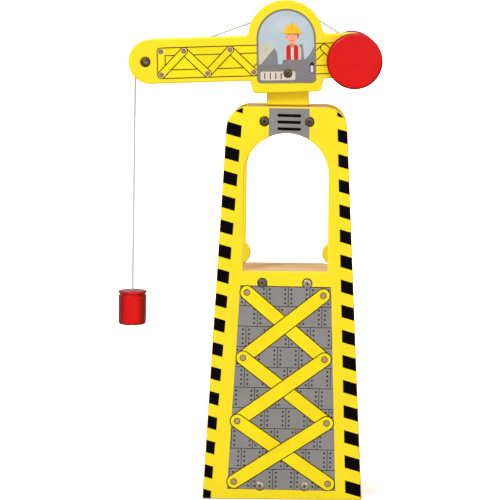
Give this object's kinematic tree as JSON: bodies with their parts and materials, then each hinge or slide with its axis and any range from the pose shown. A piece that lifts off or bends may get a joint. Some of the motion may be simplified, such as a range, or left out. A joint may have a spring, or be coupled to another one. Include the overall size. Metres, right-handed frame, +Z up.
{
  "type": "toy tower crane",
  "caption": "Painted board toy tower crane: tapered arch tower, jib that slews and rocks, and a hand-wound rope carrying a magnetic hoist block.",
  "frame": {"origin": "centre of the tower's footprint on the floor, on the base block's underside", "axes": "+Z up, +X towards the winch knobs and away from the hoist block, -Y out of the front panel"},
  "size_m": [0.2383, 0.084, 0.4503],
  "materials": {
    "yellow_paint": "satin painted board",
    "red_paint": "satin painted wood",
    "bare_wood": "sanded, unpainted",
    "bronzed_screw": "dark bronzed",
    "bright_screw": "zinc plated",
    "dark_nylon": "matte",
    "rope": "twisted white cotton",
    "magnet": "nickel plated"
  },
  "bodies": {
    "tower": {"front_panel": "yellow_paint", "rear_panel": "yellow_paint", "top_block": "bare_wood", "shelf_board": "bare_wood", "base_block": "bare_wood", "shelf_lug_left": "yellow_paint", "shelf_lug_right": "yellow_paint", "panel_screw_front_base_left": "bright_screw", "panel_screw_front_base_right": "bright_screw", "panel_screw_front_shelf_left": "bright_screw", "panel_screw_front_shelf_right": "bright_screw", "panel_screw_front_top_left": "bronzed_screw", "panel_screw_front_top_right": "bronzed_screw", "panel_screw_rear_base_left": "bright_screw", "panel_screw_rear_base_right": "bright_screw", "panel_screw_rear_shelf_left": "bright_screw", "panel_screw_rear_shelf_right": "bright_screw", "panel_screw_rear_top_left": "bronzed_screw", "panel_screw_rear_top_right": "bronzed_screw"},
    "neck": {"neck_block": "yellow_paint", "slewing_bolt": "bright_screw", "slewing_bolt_washer": "bright_screw", "thrust_washer": "dark_nylon", "pivot_screw_front": "bronzed_screw", "pivot_screw_rear": "bronzed_screw"},
    "jib": {"jib_front_plate": "yellow_paint", "jib_rear_plate": "yellow_paint", "cab_spacer": "bare_wood", "arm_spacer": "bare_wood", "tip_block": "bare_wood", "tip_screw_front": "bronzed_screw", "tip_screw_rear": "bronzed_screw", "guide_pin": "bare_wood", "rope_upper": "rope"},
    "winch": {"winch_axle": "bare_wood", "rope_drum": "bare_wood", "rope_wrap": "rope", "winch_knob_front": "red_paint", "winch_knob_rear": "red_paint"},
    "guide_wheel": {"guide_roller": "bare_wood"},
    "hanging_rope": {"rope_drop": "rope"},
    "hoist": {"hoist_block": "red_paint", "magnet": "magnet", "rope_knot": "rope"}
  },
  "joints": [
    {"name": "slew", "type": "hinge", "parent": "tower", "child": "neck", "pos_m": [0, 0, 0.3535], "axis": [0, 0, 1], "continuous": true},
    {"name": "jib_rock", "type": "hinge", "parent": "neck", "child": "jib", "pos_m": [0, 0, 0.3834], "axis": [0, 1, 0], "range_deg": [-1.5, 6.5]},
    {"name": "winch_turn", "type": "hinge", "parent": "jib", "child": "winch", "pos_m": [0.0595, 0, 0.39621], "axis": [0, 1, 0], "range_deg": [-590, 690]},
    {"name": "guide_turn", "type": "hinge", "parent": "jib", "child": "guide_wheel", "pos_m": [0.00632, 0, 0.43813], "axis": [0, 1, 0], "range_deg": [-1310, 1532]},
    {"name": "rope_swing", "type": "hinge", "parent": "jib", "child": "hanging_rope", "pos_m": [-0.1405, 0, 0.38728], "axis": [0, 1, 0], "range_deg": [-4.5, 4.5]},
    {"name": "hoist_travel", "type": "slide", "parent": "hanging_rope", "child": "hoist", "axis": [0, 0, 1], "range_m": [-0.138, 0.161], "deforming": ["rope_drop"]}
  ],
  "couplings": [
    {"joint": "hoist_travel", "follows": "winch_turn", "m_per_rad": 0.0133},
    {"joint": "guide_turn", "follows": "winch_turn", "ratio": 2.2167}
  ]
}
